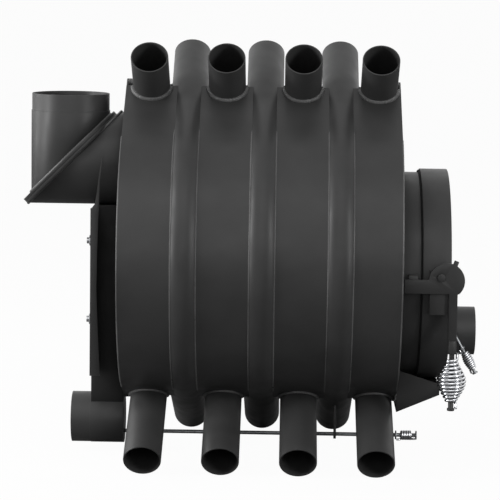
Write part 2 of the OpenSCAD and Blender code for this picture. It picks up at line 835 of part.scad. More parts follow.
module rod_hanger() {
    color("#4a4b4d") difference() {
        union() {
            rod_line(hanger_x - hanger_t / 2) cylinder(d = hanger_w + 2 * hanger_rim, h = hanger_t);
            stove() translate([hanger_x - hanger_t / 2, -hanger_w / 2, rod_z])
                cube([hanger_t, hanger_w, axis_z - bend_r / cos(foot_slope) - rod_z]);
        }
        rod_line(hanger_x - hanger_t) cylinder(d = rod_d + 2 * running, h = 2 * hanger_t);
        barrel() for (i = [MIDDLE + 1 : MIDDLE + 3]) tube_ends(i, tube_r + seat);
    }
}

module damper_rod() {
    grip_end = front_x + rod_end;
    color("#7b7d7f") {
        rod_line(valve_x) cylinder(d = rod_d, h = grip_end - valve_x);
        rod_line(grip_end - rod_grip_len - button_t) cylinder(d = rod_collar_d, h = button_t);
        rod_line(grip_end) cylinder(d = rod_collar_d, h = button_t);
    }
}

module damper_disc() {
    color("#6a6b6d") difference() {
        pipe_frame(valve_x) cylinder(r = valve_r, h = valve_t);
        rod_line(valve_x - valve_t) cylinder(d = rod_d, h = 3 * valve_t);
    }
}

module damper_coil() {
    grip_end = front_x + rod_end;
    color("#c9cbcd") rod_line(grip_end - rod_grip_len + facing / 2)
        coil(rod_grip_len - facing, rod_turns, rod_grip_r, rod_grip_r, rod_grip_r, rod_wire, "damper grip");
}

// Ash lip
module ash_lip() {
    side = [[0, lip_side_back], [0, 0], [lip_reach, lip_reach * tan(lip_slope)],
            [lip_reach, lip_reach * tan(lip_slope) + lip_side_front]];
    color("#48494b") stove() translate([front_x, 0, lip_low]) rotate([90, 0, 0]) {
        for (s = [-lip_half, lip_half - lip_t])
            translate([0, 0, s]) linear_extrude(lip_t) polygon(side);
        translate([0, 0, -lip_half]) linear_extrude(2 * lip_half)
            polygon([[0, 0], [lip_reach, lip_reach * tan(lip_slope)],
                     [lip_reach, lip_reach * tan(lip_slope) + lip_front],
                     [lip_reach - lip_t, lip_reach * tan(lip_slope) + lip_front],
                     [lip_reach - lip_t, (lip_reach - lip_t) * tan(lip_slope) + lip_t],
                     [0, lip_t / cos(lip_slope)]]);
    }
}

// Smoke baffle over the fire
module baffle_plate() {
    color("#3c3d3f") stove()
        translate([rear_x + wall_t, -baffle_half, axis_z + baffle_up])
            cube([front_x - rear_x - 2 * wall_t - baffle_gap, 2 * baffle_half, baffle_t]);
}

for (i = SLOTS) {
    air_tube(i);
    shell_panel(i);
}
rear_band();
front_band();
front_wall();
rear_wall();
door_neck();
baffle_plate();
ash_lip();
hinge_lugs();
hinge_pin();
latch_keeper();
flue_duct();
duct_flange();
socket_flange();
flue_socket();
rear_shield();
shield_studs();
shield_nuts();
shield_spacers();
rear_air_pipe();
air_box();
pipe_cap();
rod_hanger();
door_cap();
door_seal();
door_heat_shield();
door_spacers();
door_lugs();
front_air_socket();
latch_bracket();
latch_pin();
latch_lever();
latch_grip_rod();
latch_grip_coil();
throttle_spindle();
throttle_disc();
throttle_coil();
damper_rod();
damper_disc();
damper_coil();
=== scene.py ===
import math
import random

import bpy
from mathutils import Matrix, Vector


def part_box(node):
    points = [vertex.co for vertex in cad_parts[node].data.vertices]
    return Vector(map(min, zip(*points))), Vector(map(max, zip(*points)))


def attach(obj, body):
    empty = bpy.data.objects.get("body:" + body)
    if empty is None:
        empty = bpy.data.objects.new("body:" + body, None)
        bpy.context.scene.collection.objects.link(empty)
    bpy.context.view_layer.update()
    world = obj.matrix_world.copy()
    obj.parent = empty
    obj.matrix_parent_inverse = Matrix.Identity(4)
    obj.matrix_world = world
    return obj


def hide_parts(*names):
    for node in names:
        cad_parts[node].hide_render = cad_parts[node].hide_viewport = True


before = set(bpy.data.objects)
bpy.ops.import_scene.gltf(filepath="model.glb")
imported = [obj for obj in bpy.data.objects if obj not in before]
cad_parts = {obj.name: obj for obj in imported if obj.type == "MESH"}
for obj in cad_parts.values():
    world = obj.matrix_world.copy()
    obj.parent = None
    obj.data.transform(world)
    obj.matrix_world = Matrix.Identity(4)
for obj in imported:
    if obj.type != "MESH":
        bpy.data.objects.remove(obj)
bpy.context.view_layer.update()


# Air tubes
# Seven steel tubes, bent round the barrel and left open at both ends. The ends are sawn
# at a tilt, lightly deburred, and sprayed with matt heat-resistant paint inside and out.
tube_count = 7
tube_r = 0.0285
tube_wall = 0.002
tube_pitch = 0.0584
tube_sides = 56
bend_r = 0.200
bend_steps = 44
top_slope = math.radians(33.6)
foot_slope = math.radians(21.8)
top_run = 0.2455
foot_run = 0.296
top_cut = math.radians(40)
foot_cut = math.radians(34)
saw_burr = 0.0006
foot_short = tube_r * math.tan(foot_cut - foot_slope)
barrel_z = (bend_r + tube_r) * math.cos(foot_slope) + (foot_run - foot_short) * math.sin(foot_slope)
middle_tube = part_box("air_tube_4")
barrel_x = (middle_tube[0].x + middle_tube[1].x) / 2


def deselect():
    if bpy.context.object and bpy.context.object.mode != "OBJECT":
        bpy.ops.object.mode_set(mode="OBJECT")
    bpy.ops.object.select_all(action="DESELECT")


def pick(piece):
    deselect()
    piece.select_set(True)
    bpy.context.view_layer.objects.active = piece


def settle(piece):
    pick(piece)
    bpy.ops.object.transform_apply(location=True, rotation=True, scale=True)


def close_skin(piece, merge=0.00001):
    pick(piece)
    bpy.ops.object.mode_set(mode="EDIT")
    bpy.ops.mesh.select_all(action="SELECT")
    bpy.ops.mesh.remove_doubles(threshold=merge)
    bpy.ops.mesh.normals_make_consistent(inside=False)
    bpy.ops.object.mode_set(mode="OBJECT")


def sheet_wall(piece, thick):
    pick(piece)
    wall = piece.modifiers.new("wall", "SOLIDIFY")
    wall.thickness = thick
    wall.offset = -1
    wall.use_even_offset = True
    bpy.ops.object.modifier_apply(modifier=wall.name)


def soften_edges(piece, width, angle=50, rounds=2):
    pick(piece)
    edge = piece.modifiers.new("edge", "BEVEL")
    edge.width = width
    edge.segments = rounds
    edge.limit_method = "ANGLE"
    edge.angle_limit = math.radians(angle)
    edge.use_clamp_overlap = True
    bpy.ops.object.modifier_apply(modifier=edge.name)


def smooth_sheet(piece, angle=35):
    pick(piece)
    bpy.ops.object.shade_smooth_by_angle(angle=math.radians(angle))


def shader_of(finish):
    finish.use_nodes = True
    return finish.node_tree, finish.node_tree.nodes["Principled BSDF"]


def grain(tree, scale, detail, rough=0.5):
    place = tree.nodes.new("ShaderNodeTexCoord")
    noise = tree.nodes.new("ShaderNodeTexNoise")
    noise.inputs["Scale"].default_value = scale
    noise.inputs["Detail"].default_value = detail
    noise.inputs["Roughness"].default_value = rough
    tree.links.new(place.outputs["Object"], noise.inputs["Vector"])
    return noise.outputs["Fac"]


def two_tone(tree, mask, low, high, dark, light):
    ramp = tree.nodes.new("ShaderNodeValToRGB")
    ramp.color_ramp.elements[0].position = low
    ramp.color_ramp.elements[0].color = (*dark, 1)
    ramp.color_ramp.elements[1].position = high
    ramp.color_ramp.elements[1].color = (*light, 1)
    tree.links.new(mask, ramp.inputs["Fac"])
    return ramp.outputs["Color"]


def spread(tree, mask, low, high):
    span = tree.nodes.new("ShaderNodeMapRange")
    span.inputs["From Min"].default_value = 0.3
    span.inputs["From Max"].default_value = 0.7
    span.inputs["To Min"].default_value = low
    span.inputs["To Max"].default_value = high
    tree.links.new(mask, span.inputs["Value"])
    return span.outputs["Result"]


def raise_skin(tree, height, depth, strength, under=None):
    bump = tree.nodes.new("ShaderNodeBump")
    bump.inputs["Distance"].default_value = depth
    bump.inputs["Strength"].default_value = strength
    tree.links.new(height, bump.inputs["Height"])
    if under:
        tree.links.new(under, bump.inputs["Normal"])
    return bump.outputs["Normal"]


def sprayed_paint(name, dark, light, gloss_low, gloss_high):
    finish = bpy.data.materials.new(name)
    tree, shader = shader_of(finish)
    clouds = grain(tree, 9, 5, 0.6)
    tree.links.new(two_tone(tree, clouds, 0.32, 0.68, dark, light), shader.inputs["Base Color"])
    tree.links.new(spread(tree, grain(tree, 34, 4), gloss_low, gloss_high), shader.inputs["Roughness"])
    waves = raise_skin(tree, grain(tree, 24, 2), 0.0006, 0.25)
    peel = raise_skin(tree, grain(tree, 1100, 2), 0.00008, 0.35, waves)
    tree.links.new(peel, shader.inputs["Normal"])
    shader.inputs["Specular IOR Level"].default_value = 0.25
    return finish


def dress(piece, finish):
    piece.data.materials.clear()
    piece.data.materials.append(finish)


stove_paint = sprayed_paint("matt stove paint", (0.037, 0.037, 0.037), (0.048, 0.048, 0.048), 0.36, 0.48)


def saw_off(piece, place, outward):
    pick(piece)
    bpy.ops.object.mode_set(mode="EDIT")
    bpy.ops.mesh.select_all(action="SELECT")
    bpy.ops.mesh.bisect(plane_co=place, plane_no=outward, clear_outer=True)
    bpy.ops.object.mode_set(mode="OBJECT")


def tube_x(number):
    return barrel_x + (number - (tube_count + 1) / 2) * tube_pitch


def bent_tube(number):
    side = 1 if number % 2 else -1
    middle = Vector((tube_x(number), 0, barrel_z))
    along = Vector((0, side * math.cos(foot_slope), math.sin(foot_slope)))
    low_spoke = Vector((0, side * math.sin(foot_slope), -math.cos(foot_slope)))
    foot = middle + low_spoke * bend_r - along * foot_run
    up = Vector((0, -side * math.cos(top_slope), math.sin(top_slope)))
    high_spoke = Vector((0, side * math.sin(top_slope), math.cos(top_slope)))
    mouth = middle + high_spoke * bend_r + up * top_run
    deselect()
    bpy.ops.mesh.primitive_circle_add(
        vertices=tube_sides, radius=tube_r, location=foot - along * tube_r,
        rotation=(side * (foot_slope - math.pi / 2), 0, 0))
    tube = bpy.context.object
    tube.name = f"bent_tube_{number}"
    bpy.ops.object.mode_set(mode="EDIT")
    bpy.ops.mesh.select_all(action="SELECT")
    bpy.ops.mesh.extrude_region_move(TRANSFORM_OT_translate={"value": along * (foot_run + tube_r)})
    bpy.ops.mesh.spin(
        steps=bend_steps, angle=-side * (math.pi - foot_slope - top_slope), center=middle, axis=(1, 0, 0))
    bpy.ops.mesh.extrude_region_move(TRANSFORM_OT_translate={"value": up * (top_run + tube_r)})
    settle(tube)
    saw_off(tube, foot, (0, -side * math.cos(foot_cut), -math.sin(foot_cut)))
    saw_off(tube, mouth, (0, -side * math.cos(top_cut), math.sin(top_cut)))
    close_skin(tube)
    sheet_wall(tube, tube_wall)
    soften_edges(tube, saw_burr, 60)
    smooth_sheet(tube)
    dress(tube, stove_paint)
    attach(tube, "stove")
    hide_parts(f"air_tube_{number}")


for number in range(1, tube_count + 1):
    bent_tube(number)


# Shell panels and end bands
# Sheet strips rolled to the barrel's outline, each welded between the flanks of two
# tubes. Their upper ends are cut round the tubes that cross over them.
def from_frame(node, name, body, finish, edge=0.0005, angle=40, flatten=True):
    piece = bpy.data.objects.new(name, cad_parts[node].data.copy())
    bpy.context.scene.collection.objects.link(piece)
    pick(piece)
    bpy.ops.object.mode_set(mode="EDIT")
    bpy.ops.mesh.select_all(action="SELECT")
    bpy.ops.mesh.remove_doubles(threshold=0.00001)
    if flatten:
        bpy.ops.mesh.dissolve_limited(angle_limit=math.radians(0.05), use_dissolve_boundaries=False)
    bpy.ops.object.mode_set(mode="OBJECT")
    bpy.ops.mesh.customdata_custom_splitnormals_clear()
    if edge:
        soften_edges(piece, edge, angle)
    smooth_sheet(piece)
    dress(piece, finish)
    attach(piece, body)
    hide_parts(node)
    return piece


def shell_strip(node, name):
    from_frame(node, name, "stove", stove_paint, edge=0, flatten=False)


for number in range(1, tube_count + 1):
    shell_strip(f"shell_panel_{number}", f"rolled_strip_{number}")
shell_strip("front_band", "front_edge_strip")
shell_strip("rear_band", "rear_edge_strip")


# Welds of the shell
# A weld bead runs round the outer half of each tube where it passes through the next
# strip, along its flanks where a strip meets it, and along the edges of the end plates.
# It is laid by hand in small overlapping ripples and painted with the stove. Two short
# thick beads fill the ridge's corners beside the outer tubes.
panel_r = 0.222
tube_bead_r = 0.0050
foot_bead_share = 0.8
seam_bead_r = 0.0016
edge_bead_r = 0.0013
corner_bead_r = 0.0065
arc_steps = 40
line_steps = 60
seam_over_top = 0.30
seam_over_foot = 0.12
bead_step = 0.0013
ripple = 0.0042
weld_paint = sprayed_paint("painted weld", (0.080, 0.080, 0.080), (0.150, 0.150, 0.150), 0.26, 0.40)


def weld(name, runs, bead_r, body, closed=False):
    hand = random.Random(name)
    deselect()
    bpy.ops.curve.primitive_bezier_curve_add(location=(0, 0, 0))
    bead = bpy.context.object
    bead.name = name
    bead.data.splines.clear()
    for run in runs:
        run = [Vector(p) for p in run]
        if closed:
            run.append(run[0])
        laid = [run[0]]
        for start, end in zip(run, run[1:]):
            count = max(1, round((end - start).length / bead_step))
            laid += [start.lerp(end, k / count) for k in range(1, count + 1)]
        if closed:
            laid.pop()
        spline = bead.data.splines.new("POLY")
        spline.points.add(len(laid) - 1)
        spline.use_cyclic_u = closed
        wander = hand.uniform(0, 1)
        for k, (point, place) in enumerate(zip(spline.points, laid)):
            phase = (k * bead_step / ripple + wander) % 1
            wander += hand.uniform(-0.03, 0.03)
            point.co = (*place, 1)
            point.radius = 0.82 + 0.2 * phase + hand.uniform(-0.04, 0.04)
            if not closed and k in (0, len(laid) - 1):
                point.radius = 0.35
    bead.data.dimensions = "3D"
    bead.data.bevel_depth = bead_r
    bead.data.bevel_resolution = 2
    bead.data.use_fill_caps = True
    pick(bead)
    bpy.ops.object.convert(target="MESH")
    bead = bpy.context.object
    close_skin(bead)
    pick(bead)
    bpy.ops.object.shade_smooth()
    dress(bead, weld_paint)
    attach(bead, body)
    return bead


def crossing_arc(number, slope, up):
    side = 1 if number % 2 else -1
    x = tube_x(number)
    outward = Vector((0, side * math.sin(slope), up * math.cos(slope)))
    along = Vector((0, -side * math.cos(slope), up * math.sin(slope)))
    arc = []
    for k in range(arc_steps + 1):
        turn = math.pi / 2 + math.pi * k / arc_steps
        reach = panel_r - (bend_r + tube_r * math.cos(turn)) * math.cos(2 * slope)
        arc.append(Vector((x, 0, barrel_z)) + outward * (bend_r + tube_r * math.cos(turn))
                   + along * (reach / math.sin(2 * slope)) + Vector((tube_r * math.sin(turn), 0, 0)))
    return arc


def rolled_line(x, side, turns):
    return [(x, side * seam_r * math.cos(a), barrel_z + seam_r * math.sin(a)) for a in turns]


def rib_seam(number, edge):
    side = 1 if number % 2 else -1
    start = math.pi / 2 - top_slope + seam_over_top
    sweep = math.pi - top_slope - foot_slope + seam_over_top + seam_over_foot
    turns = [start - sweep * k / line_steps for k in range(line_steps + 1)]
    return rolled_line(tube_x(number) + edge * seam_reach, side, turns)


seam_sink = 0.0008
seam_r = panel_r - seam_sink
bead_inset = 0.0006
seam_reach = math.sqrt(tube_r ** 2 - (panel_r - bend_r) ** 2) + bead_inset
tubes = range(1, tube_count + 1)
seams = [rib_seam(n, edge) for n in tubes for edge in (-1, 1) if 0 < n + edge < tube_count + 1]
weld("rib_seams", seams, seam_bead_r, "stove")
weld("upper_tube_welds", [crossing_arc(n, top_slope, 1) for n in tubes], tube_bead_r, "stove")
weld("foot_welds", [crossing_arc(n, foot_slope, -1) for n in tubes], tube_bead_r * foot_bead_share, "stove")
end_faces = (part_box("rear_wall")[0].x + bead_inset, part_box("front_wall")[1].x - bead_inset)
flank_start = math.pi / 2 - top_slope
flank_sweep = math.pi - top_slope - foot_slope
flank_turns = [flank_start - flank_sweep * k / line_steps for k in range(line_steps + 1)]
edge_lines = [rolled_line(x, side, flank_turns) for x in end_faces for side in (-1, 1)]
weld("wall_edge_welds", edge_lines, edge_bead_r, "stove")
ridge_sink = 0.004
corner_lap = 0.001
ridge_z = barrel_z + (panel_r - ridge_sink) / math.cos(top_slope) - ridge_sink
outer_flank = (tube_count - 1) / 2 * tube_pitch + tube_r - corner_lap
corners = [[(end_faces[0], 0, ridge_z), (barrel_x - outer_flank, 0, ridge_z)],
           [(end_faces[1], 0, ridge_z), (barrel_x + outer_flank, 0, ridge_z)]]
weld("ridge_corner_welds", corners, corner_bead_r, "stove")


# End walls, door neck and smoke baffle
# Flat plates close both ends of the barrel. A rolled collar is welded to the front one
# for the door, and a thick plate over the fire holds the smoke down.
wall_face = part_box("front_wall")[1].x
neck_low, neck_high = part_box("door_neck")
neck_r = (neck_high.y - neck_low.y) / 2
door_z = (neck_high.z + neck_low.z) / 2
sheet_edge = 0.0004
collar_bead_r = 0.003
ring_steps = 72
from_frame("front_wall", "front_plate", "stove", stove_paint)
from_frame("rear_wall", "rear_plate", "stove", stove_paint)


def ring_line(x, z, r):
    turns = [2 * math.pi * k / ring_steps for k in range(ring_steps)]
    return [(x, r * math.cos(a), z + r * math.sin(a)) for a in turns]


from_frame("door_neck", "rolled_neck", "stove", stove_paint, edge=sheet_edge)
weld("neck_weld", [ring_line(wall_face, door_z, neck_r)], collar_bead_r, "stove", closed=True)


def heated_steel(name, dark, pale):
    finish = bpy.data.materials.new(name)
    tree, shader = shader_of(finish)
    scale = two_tone(tree, grain(tree, 14, 8, 0.7), 0.35, 0.65, dark, pale)
    tree.links.new(scale, shader.inputs["Base Color"])
    tree.links.new(spread(tree, grain(tree, 60, 5), 0.5, 0.8), shader.inputs["Roughness"])
    flakes = raise_skin(tree, grain(tree, 260, 6, 0.65), 0.0003, 0.5)
    tree.links.new(flakes, shader.inputs["Normal"])
    shader.inputs["Metallic"].default_value = 0.6
    return finish


fire_steel = heated_steel("heat stained steel", (0.045, 0.038, 0.034), (0.11, 0.095, 0.085))
from_frame("baffle_plate", "smoke_plate", "stove", fire_steel)


# Ash lip
# A folded tray under the door with two side cheeks, welded to the front plate. It
# catches what falls out of the door. Its paint is darker than the stove's, as painted shade from the door
# above it.
lip_shade_paint = sprayed_paint("lip paint with painted shade", (0.016, 0.016, 0.016), (0.024, 0.024, 0.024), 0.5, 0.7)
from_frame("ash_lip", "folded_ash_lip", "stove", lip_shade_paint)


# Hinge
# Two plate lugs on the neck and two on the door turn on one upright pin with a head.
# They stand on the far side, opposite the latch.
def turned_steel(name, shade, low, high, scale=420):
    finish = bpy.data.materials.new(name)
    tree, shader = shader_of(finish)
    dark = tuple(0.78 * c for c in shade)
    patches = two_tone(tree, grain(tree, 90, 5), 0.35, 0.65, dark, shade)
    tree.links.new(patches, shader.inputs["Base Color"])
    tree.links.new(spread(tree, grain(tree, 160, 4), low, high), shader.inputs["Roughness"])
    marks = raise_skin(tree, grain(tree, scale, 3), 0.00006, 0.4)
    tree.links.new(marks, shader.inputs["Normal"])
    shader.inputs["Metallic"].default_value = 1
    return finish


plain_steel = turned_steel("plain rolled steel", (0.30, 0.31, 0.32), 0.38, 0.55)
from_frame("hinge_lugs", "neck_hinge_plates", "stove", stove_paint)
from_frame("hinge_pin", "hinge_bolt", "stove", plain_steel, edge=0.0008)
from_frame("door_lugs", "door_hinge_plates", "door", stove_paint)


# Door
# A pressed round cap with a rope seal inside its rim, and a thin near-black ring that
# shows between the rim and the neck as a painted shadow of the gap there. A plate on three spacers keeps
# the fire's heat off the cap.
from_frame("door_cap", "pressed_door", "door", stove_paint, edge=0.0012)
from_frame("door_heat_shield", "door_inner_plate", "door", fire_steel)
from_frame("door_spacers", "inner_plate_spacers", "door", fire_steel)


def braided_rope(name):
    finish = bpy.data.materials.new(name)
    tree, shader = shader_of(finish)
    place = tree.nodes.new("ShaderNodeTexCoord")
    weave = tree.nodes.new("ShaderNodeTexWave")
    weave.bands_direction = "DIAGONAL"
    weave.inputs["Scale"].default_value = 160
    weave.inputs["Distortion"].default_value = 1.5
    tree.links.new(place.outputs["Object"], weave.inputs["Vector"])
    yarn = two_tone(tree, weave.outputs["Fac"], 0.2, 0.8, (0.30, 0.27, 0.22), (0.62, 0.59, 0.52))
    tree.links.new(yarn, shader.inputs["Base Color"])
    tree.links.new(raise_skin(tree, weave.outputs["Fac"], 0.0006, 0.7), shader.inputs["Normal"])
    shader.inputs["Roughness"].default_value = 0.9
    shader.inputs["Sheen Weight"].default_value = 0.3
    return finish


seal_rope = braided_rope("braided seal rope")
from_frame("door_seal", "rope_seal", "door", seal_rope, edge=0.002)
rim_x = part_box("door_cap")[0].x
# A near-black ring at the rim's inner edge, a painted shadow of the gap between the door and the neck.
shadow_ring_r = 0.0016
shadow_ring_gap = 0.0004
gap_shadow_paint = sprayed_paint("painted gap shadow", (0.006, 0.006, 0.006), (0.012, 0.012, 0.012), 0.8, 0.9)
deselect()
bpy.ops.mesh.primitive_torus_add(
    major_radius=neck_r + shadow_ring_r + shadow_ring_gap, minor_radius=shadow_ring_r, major_segments=144, minor_segments=10,
    location=(rim_x - shadow_ring_r * 0.6, 0, door_z), rotation=(0, math.pi / 2, 0))
shadow_ring = bpy.context.object
shadow_ring.name = "gap_shadow_ring"
settle(shadow_ring)
smooth_sheet(shadow_ring, 60)
dress(shadow_ring, gap_shadow_paint)
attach(shadow_ring, "door")


# Front air socket and throttle
# A short pipe welded low on the door lets air in. A disc on a cross spindle closes it
# and is turned by a bent rod with a small wire coil for a grip.
from_frame("front_air_socket", "air_socket", "door", stove_paint)
from_frame("throttle_spindle", "throttle_rod", "throttle", plain_steel)
from_frame("throttle_disc", "throttle_plate", "throttle", fire_steel)
socket_low, socket_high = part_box("front_air_socket")
socket_z = (socket_low.z + socket_high.z) / 2
face_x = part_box("door_cap")[1].x
socket_r = (socket_high.z - socket_low.z) / 2
air_bead_r = 0.0022
weld("air_socket_weld", [ring_line(face_x, socket_z, socket_r)], air_bead_r, "door", closed=True)


def bright_wire(name):
    finish = bpy.data.materials.new(name)
    tree, shader = shader_of(finish)
    tone = two_tone(tree, grain(tree, 120, 4), 0.35, 0.65, (0.62, 0.63, 0.65), (0.80, 0.81, 0.83))
    tree.links.new(tone, shader.inputs["Base Color"])
    tree.links.new(spread(tree, grain(tree, 200, 3), 0.10, 0.24), shader.inputs["Roughness"])
    tree.links.new(raise_skin(tree, grain(tree, 300, 2), 0.00008, 0.25), shader.inputs["Normal"])
    shader.inputs["Metallic"].default_value = 1
    return finish


plated_wire = bright_wire("plated spring wire")
turn_steps = 28
upper_belly = 2
lower_belly = 1.4


def wire_coil(name, place, length, turns, radii, wire, body, node):
    first, widest, last = radii
    path = []
    for k in range(turns * turn_steps + 1):
        t = k / (turns * turn_steps)
        edge = first if t < 0.5 else last
        r = edge + (widest - edge) * math.sin(math.pi * t) ** (upper_belly if t < 0.5 else lower_belly)
        a = 2 * math.pi * k / turn_steps
        path.append(Vector((r * math.cos(a), r * math.sin(a), 2 * wire + t * (length - 4 * wire))))
    head = (path[0] - path[1]).normalized()
    tail = (path[-1] - path[-2]).normalized()
    rise = Vector((0, 0, wire))
    curl = (0.5, 1.0, math.pi / 2)
    lead_in = [path[0] + head * wire * math.sin(b) - rise * (1 - math.cos(b)) for b in curl]
    lead_out = [path[-1] + tail * wire * math.sin(b) + rise * (1 - math.cos(b)) for b in curl]
    path = [lead_in[-1] - rise] + lead_in[::-1] + path + lead_out + [lead_out[-1] + rise]
    deselect()
    bpy.ops.curve.primitive_bezier_curve_add(location=(0, 0, 0))
    coil = bpy.context.object
    coil.name = name
    coil.data.splines.clear()
    spline = coil.data.splines.new("POLY")
    spline.points.add(len(path) - 1)
    for point, spot in zip(spline.points, path):
        point.co = (*(place @ spot), 1)
    coil.data.dimensions = "3D"
    coil.data.bevel_depth = wire / 2
    coil.data.bevel_resolution = 3
    coil.data.use_fill_caps = True
    pick(coil)
    bpy.ops.object.convert(target="MESH")
    coil = bpy.context.object
    close_skin(coil)
    smooth_sheet(coil, 50)
    dress(coil, plated_wire)
    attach(coil, body)
    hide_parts(node)


coil_gap = 0.0003
handle_turn = math.radians(180 - 29)
handle_x = face_x + 0.015
handle_y = -0.049
handle_root = 0.024
handle_len = 0.042
handle_turns = 9
handle_r = (0.0046, 0.0068, 0.0046)
handle_wire = 0.0031
handle_start = Matrix.Translation((handle_x, handle_y, socket_z)) @ Matrix.Rotation(handle_turn, 4, "Y")
handle_place = handle_start @ Matrix.Translation((0, 0, handle_root + coil_gap / 2))
wire_coil("throttle_grip", handle_place, handle_len - coil_gap, handle_turns, handle_r, handle_wire,
          "throttle", "throttle_coil")


# Latch
# A flat plate crank turns on a rivet on the door's bracket. Its tooth hooks behind a
# keeper on the neck, and a tapered wire coil on a painted rod is the grip.
door_r = 0.163
latch_x = face_x - 0.0165
latch_y = -door_r - 0.012
latch_z = door_z + 0.016
lever_off = 0.0185
lever_drop = 0.114
grip_len = 0.083
grip_turns = 12
grip_r = (0.0079, 0.0202, 0.0066)
grip_wire = 0.0044
from_frame("latch_keeper", "neck_keeper", "stove", stove_paint)
from_frame("latch_bracket", "latch_block", "door", stove_paint)
from_frame("latch_pin", "latch_rivet", "door", stove_paint, edge=0.0012)
from_frame("latch_lever", "latch_crank", "latch", stove_paint, edge=0.0007)
from_frame("latch_grip_rod", "latch_rod", "latch", stove_paint)
grip_start = Matrix.Translation((latch_x + lever_off, latch_y, latch_z - lever_drop - coil_gap / 2))
grip_place = grip_start @ Matrix.Rotation(math.pi, 4, "X")
wire_coil("latch_grip", grip_place, grip_len - coil_gap, grip_turns, grip_r, grip_wire,
          "latch", "latch_grip_coil")


# Flue duct and socket
# A rolled duct leaves the rear plate level and is cut at 45 degrees. One flat oval plate
# is welded to it and one to the upright socket, and the two plates meet face to face.
from_frame("flue_duct", "rolled_duct", "stove", stove_paint)
from_frame("duct_flange", "lower_mitre_plate", "stove", stove_paint)
from_frame("socket_flange", "upper_mitre_plate", "stove", stove_paint)
from_frame("flue_socket", "rolled_flue_socket", "stove", stove_paint, edge=sheet_edge)
flue_low, flue_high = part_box("flue_socket")
duct_low, duct_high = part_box("flue_duct")
flue_x = (flue_low.x + flue_high.x) / 2
flue_r = (flue_high.y - flue_low.y) / 2
duct_r = (duct_high.y - duct_low.y) / 2
duct_z = duct_high.z - duct_r
mitre_t = 0.0045
mitre_rise = mitre_t * math.sqrt(2)
mitre_steps = 96
socket_bead_r = 0.0028
duct_bead_r = 0.0024
socket_line, duct_line = [], []
for k in range(mitre_steps):
    x, y = math.cos(2 * math.pi * k / mitre_steps), math.sin(2 * math.pi * k / mitre_steps)
    socket_line.append((flue_x + flue_r * x, flue_r * y, duct_z + flue_r * x + mitre_rise))
    duct_line.append((flue_x + duct_r * y + mitre_rise, duct_r * x, duct_z + duct_r * y))
weld("socket_weld", [socket_line], socket_bead_r, "stove", closed=True)
weld("duct_mitre_weld", [duct_line], duct_bead_r, "stove", closed=True)
rear_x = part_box("rear_wall")[0].x
weld("duct_wall_weld", [ring_line(rear_x, duct_z, duct_r)], collar_bead_r, "stove", closed=True)


# Rear heat shield
# A folded sheet held off the rear plate by tube spacers on two studs with plain nuts. Its
# side edges dip in the middle and run up beside the duct as thin leaning horns.
bright_zinc = turned_steel("zinc plating", (0.62, 0.63, 0.65), 0.25, 0.42)
shield_low, shield_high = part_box("rear_shield")
shield_sheet = 0.0015
shield_edge = 0.0003
back_high = 0.2575
fold_edge = [(0.0160, 0), (0.0125, 0.065), (0.0098, 0.133), (0.0108, 0.195), (0.0124, 0.249),
             (0.0150, 0.303), (0.0192, 0.342)]
horn_edge = [(0.0180, 0.342), (0.0132, 0.312), (0.0098, 0.284), (0.0066, 0.266), (0.0024, 0.2605),
             (0, 0.2590), (0, 0)]


def shield_part(name, outline, place):
    deselect()
    bpy.ops.curve.primitive_bezier_curve_add(location=(0, 0, 0))
    sheet = bpy.context.object
    sheet.name = name
    sheet.data.splines.clear()
    edge = sheet.data.splines.new("POLY")
    edge.points.add(len(outline) - 1)
    edge.use_cyclic_u = True
    for point, spot in zip(edge.points, outline):
        point.co = (*spot, 0, 1)
    sheet.data.dimensions = "2D"
    sheet.data.fill_mode = "BOTH"
    sheet.data.extrude = shield_sheet / 2
    pick(sheet)
    bpy.ops.object.convert(target="MESH")
    sheet = bpy.context.object
    sheet.matrix_world = place
    settle(sheet)
    close_skin(sheet)
    soften_edges(sheet, shield_edge, 60)
    smooth_sheet(sheet)
    dress(sheet, stove_paint)
    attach(sheet, "stove")
    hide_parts("rear_shield")


upright = Matrix.Rotation(math.pi / 2, 4, "X")
half_sheet = shield_sheet / 2
edge_places = {"near_shield_edge": shield_low.y + half_sheet, "far_shield_edge": shield_high.y - half_sheet}
for name, y in edge_places.items():
    shield_part(name, fold_edge + horn_edge, Matrix.Translation((shield_low.x, y, shield_low.z)) @ upright)
fold_lap = 0.0002
half_back = (shield_high.y - shield_low.y) / 2 - shield_sheet + fold_lap
back_outline = [(-half_back, 0), (half_back, 0), (half_back, back_high), (-half_back, back_high)]
back_start = Matrix.Translation((shield_low.x + half_sheet, 0, shield_low.z))
shield_part("shield_back", back_outline, back_start @ Matrix.Rotation(math.pi / 2, 4, "Z") @ upright)
from_frame("shield_spacers", "spacer_tubes", "stove", stove_paint)
from_frame("shield_studs", "threaded_studs", "stove", bright_zinc, edge=0.0006)
from_frame("shield_nuts", "hexagon_nuts", "stove", bright_zinc, edge=0.0006)


# Rear air pipe and its box
# Outside air comes in through a low pipe, closed at its inner end by a welded plate, and
# up a folded box to a port in the rear plate. The box's riser is deep and reaches the duct.
# Its upper part is painted near black, as painted shade for the dark gap behind the shield.
from_frame("rear_air_pipe", "low_air_pipe", "stove", stove_paint)
from_frame("pipe_cap", "pipe_end_plate", "stove", stove_paint)
riser_foot = 0.1205
riser_lid = 0.003
riser_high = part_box("air_box")[1].z
riser_lap = 0.0005
riser_lift = duct_z - duct_r - riser_high + riser_lap
riser_depth = 0.022
riser_back = rear_x - riser_depth
riser_reach = 0.012
riser_swell = 0.016
box_lid = 0.002
riser_shade_paint = sprayed_paint("painted riser shade", (0.010, 0.010, 0.010), (0.016, 0.016, 0.016), 0.5, 0.7)
riser = from_frame("air_box", "folded_air_box", "stove", stove_paint)
riser.data.materials.append(riser_shade_paint)
